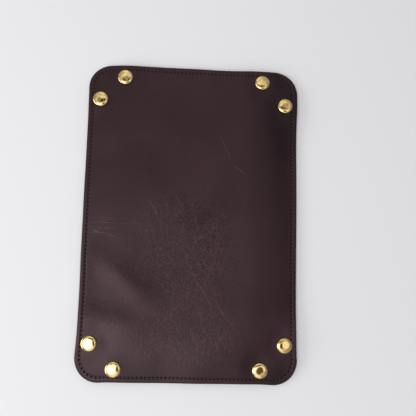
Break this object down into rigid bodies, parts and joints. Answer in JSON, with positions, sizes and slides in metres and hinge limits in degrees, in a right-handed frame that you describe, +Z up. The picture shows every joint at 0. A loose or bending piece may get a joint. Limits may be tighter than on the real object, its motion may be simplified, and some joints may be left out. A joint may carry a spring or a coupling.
{
  "type": "dice tray",
  "caption": "Rectangular leather dice tray with brass corner snaps, unsnapped and lying flat with its outer side up; the walls fold and the corners pinch shut.",
  "frame": {"origin": "on the surface that the flat tray lies on, under the middle of the sheet", "axes": "+X to the right across the tray, +Y along its length to the back, +Z up, out of the outer leather"},
  "size_m": [0.178, 0.262, 0.0079],
  "materials": {
    "leather": "oxblood, fine grain, low sheen",
    "suede": "brushed suede",
    "brass": "polished",
    "steel": "bright drawn wire"
  },
  "bodies": {
    "base": {"base_leather": "leather", "base_lining": "suede"},
    "wall_left": {"wall_left_leather": "leather", "wall_left_lining": "suede"},
    "wall_right": {"wall_right_leather": "leather", "wall_right_lining": "suede"},
    "wall_front": {"wall_front_leather": "leather", "wall_front_lining": "suede"},
    "wall_back": {"wall_back_leather": "leather", "wall_back_lining": "suede"},
    "ear_front_left_end": {"ear_front_left_end_leather": "leather", "ear_front_left_end_lining": "suede", "cap_front_left_end": "brass", "stud_front_left": "brass"},
    "crease_front_left_end": {"crease_front_left_end": "leather"},
    "ear_front_left_side": {"ear_front_left_side_leather": "leather", "ear_front_left_side_lining": "suede", "cap_front_left_side": "brass", "socket_front_left": "brass", "ring_spring_front_left": "steel"},
    "crease_front_left_side": {"crease_front_left_side": "leather"},
    "ear_front_right_end": {"ear_front_right_end_leather": "leather", "ear_front_right_end_lining": "suede", "cap_front_right_end": "brass", "stud_front_right": "brass"},
    "crease_front_right_end": {"crease_front_right_end": "leather"},
    "ear_front_right_side": {"ear_front_right_side_leather": "leather", "ear_front_right_side_lining": "suede", "cap_front_right_side": "brass", "socket_front_right": "brass", "ring_spring_front_right": "steel"},
    "crease_front_right_side": {"crease_front_right_side": "leather"},
    "ear_back_left_end": {"ear_back_left_end_leather": "leather", "ear_back_left_end_lining": "suede", "cap_back_left_end": "brass", "stud_back_left": "brass"},
    "crease_back_left_end": {"crease_back_left_end": "leather"},
    "ear_back_left_side": {"ear_back_left_side_leather": "leather", "ear_back_left_side_lining": "suede", "cap_back_left_side": "brass", "socket_back_left": "brass", "ring_spring_back_left": "steel"},
    "crease_back_left_side": {"crease_back_left_side": "leather"},
    "ear_back_right_end": {"ear_back_right_end_leather": "leather", "ear_back_right_end_lining": "suede", "cap_back_right_end": "brass", "stud_back_right": "brass"},
    "crease_back_right_end": {"crease_back_right_end": "leather"},
    "ear_back_right_side": {"ear_back_right_side_leather": "leather", "ear_back_right_side_lining": "suede", "cap_back_right_side": "brass", "socket_back_right": "brass", "ring_spring_back_right": "steel"},
    "crease_back_right_side": {"crease_back_right_side": "leather"}
  },
  "joints": [
    {"name": "wall_left_fold", "type": "hinge", "parent": "base", "child": "wall_left", "pos_m": [-0.049, 0, 0.0032], "axis": [0, -1, 0], "range_deg": [0, 90]},
    {"name": "wall_right_fold", "type": "hinge", "parent": "base", "child": "wall_right", "pos_m": [0.049, 0, 0.0032], "axis": [0, 1, 0], "range_deg": [0, 90]},
    {"name": "wall_front_fold", "type": "hinge", "parent": "base", "child": "wall_front", "pos_m": [0, -0.091, 0.0032], "axis": [1, 0, 0], "range_deg": [0, 90]},
    {"name": "wall_back_fold", "type": "hinge", "parent": "base", "child": "wall_back", "pos_m": [0, 0.091, 0.0032], "axis": [-1, 0, 0], "range_deg": [0, 90]},
    {"name": "ear_front_left_end_fold", "type": "hinge", "parent": "wall_front", "child": "ear_front_left_end", "pos_m": [-0.04488, -0.091, 0.0058], "axis": [0, 1, 0], "range_deg": [0, 45]},
    {"name": "crease_front_left_end_fold", "type": "hinge", "parent": "ear_front_left_end", "child": "crease_front_left_end", "pos_m": [-0.04596, -0.091, 0.0032], "axis": [-0.7071, -0.7071, 0], "range_deg": [0, 90]},
    {"name": "ear_front_left_side_fold", "type": "hinge", "parent": "wall_left", "child": "ear_front_left_side", "pos_m": [-0.049, -0.08688, 0.0058], "axis": [-1, 0, 0], "range_deg": [0, 45], "deforming": ["ring_spring_front_left"]},
    {"name": "crease_front_left_side_fold", "type": "hinge", "parent": "ear_front_left_side", "child": "crease_front_left_side", "pos_m": [-0.049, -0.08796, 0.0032], "axis": [0.7071, 0.7071, 0], "range_deg": [0, 90]},
    {"name": "ear_front_right_end_fold", "type": "hinge", "parent": "wall_front", "child": "ear_front_right_end", "pos_m": [0.04488, -0.091, 0.0058], "axis": [0, -1, 0], "range_deg": [0, 45]},
    {"name": "crease_front_right_end_fold", "type": "hinge", "parent": "ear_front_right_end", "child": "crease_front_right_end", "pos_m": [0.04596, -0.091, 0.0032], "axis": [-0.7071, 0.7071, 0], "range_deg": [0, 90]},
    {"name": "ear_front_right_side_fold", "type": "hinge", "parent": "wall_right", "child": "ear_front_right_side", "pos_m": [0.049, -0.08688, 0.0058], "axis": [-1, 0, 0], "range_deg": [0, 45], "deforming": ["ring_spring_front_right"]},
    {"name": "crease_front_right_side_fold", "type": "hinge", "parent": "ear_front_right_side", "child": "crease_front_right_side", "pos_m": [0.049, -0.08796, 0.0032], "axis": [0.7071, -0.7071, 0], "range_deg": [0, 90]},
    {"name": "ear_back_left_end_fold", "type": "hinge", "parent": "wall_back", "child": "ear_back_left_end", "pos_m": [-0.04488, 0.091, 0.0058], "axis": [0, 1, 0], "range_deg": [0, 45]},
    {"name": "crease_back_left_end_fold", "type": "hinge", "parent": "ear_back_left_end", "child": "crease_back_left_end", "pos_m": [-0.04596, 0.091, 0.0032], "axis": [0.7071, -0.7071, 0], "range_deg": [0, 90]},
    {"name": "ear_back_left_side_fold", "type": "hinge", "parent": "wall_left", "child": "ear_back_left_side", "pos_m": [-0.049, 0.08688, 0.0058], "axis": [1, 0, 0], "range_deg": [0, 45], "deforming": ["ring_spring_back_left"]},
    {"name": "crease_back_left_side_fold", "type": "hinge", "parent": "ear_back_left_side", "child": "crease_back_left_side", "pos_m": [-0.049, 0.08796, 0.0032], "axis": [-0.7071, 0.7071, 0], "range_deg": [0, 90]},
    {"name": "ear_back_right_end_fold", "type": "hinge", "parent": "wall_back", "child": "ear_back_right_end", "pos_m": [0.04488, 0.091, 0.0058], "axis": [0, -1, 0], "range_deg": [0, 45]},
    {"name": "crease_back_right_end_fold", "type": "hinge", "parent": "ear_back_right_end", "child": "crease_back_right_end", "pos_m": [0.04596, 0.091, 0.0032], "axis": [0.7071, 0.7071, 0], "range_deg": [0, 90]},
    {"name": "ear_back_right_side_fold", "type": "hinge", "parent": "wall_right", "child": "ear_back_right_side", "pos_m": [0.049, 0.08688, 0.0058], "axis": [1, 0, 0], "range_deg": [0, 45], "deforming": ["ring_spring_back_right"]},
    {"name": "crease_back_right_side_fold", "type": "hinge", "parent": "ear_back_right_side", "child": "crease_back_right_side", "pos_m": [0.049, 0.08796, 0.0032], "axis": [-0.7071, -0.7071, 0], "range_deg": [0, 90]}
  ],
  "couplings": [
    {"joint": "wall_right_fold", "follows": "wall_left_fold", "ratio": 1},
    {"joint": "wall_front_fold", "follows": "wall_left_fold", "ratio": 1},
    {"joint": "wall_back_fold", "follows": "wall_left_fold", "ratio": 1},
    {"joint": "ear_front_left_end_fold", "follows": "wall_left_fold", "ratio": 0.5},
    {"joint": "crease_front_left_end_fold", "follows": "wall_left_fold", "ratio": 1},
    {"joint": "ear_front_left_side_fold", "follows": "wall_left_fold", "ratio": 0.5},
    {"joint": "crease_front_left_side_fold", "follows": "wall_left_fold", "ratio": 1},
    {"joint": "ear_front_right_end_fold", "follows": "wall_left_fold", "ratio": 0.5},
    {"joint": "crease_front_right_end_fold", "follows": "wall_left_fold", "ratio": 1},
    {"joint": "ear_front_right_side_fold", "follows": "wall_left_fold", "ratio": 0.5},
    {"joint": "crease_front_right_side_fold", "follows": "wall_left_fold", "ratio": 1},
    {"joint": "ear_back_left_end_fold", "follows": "wall_left_fold", "ratio": 0.5},
    {"joint": "crease_back_left_end_fold", "follows": "wall_left_fold", "ratio": 1},
    {"joint": "ear_back_left_side_fold", "follows": "wall_left_fold", "ratio": 0.5},
    {"joint": "crease_back_left_side_fold", "follows": "wall_left_fold", "ratio": 1},
    {"joint": "ear_back_right_end_fold", "follows": "wall_left_fold", "ratio": 0.5},
    {"joint": "crease_back_right_end_fold", "follows": "wall_left_fold", "ratio": 1},
    {"joint": "ear_back_right_side_fold", "follows": "wall_left_fold", "ratio": 0.5},
    {"joint": "crease_back_right_side_fold", "follows": "wall_left_fold", "ratio": 1}
  ]
}
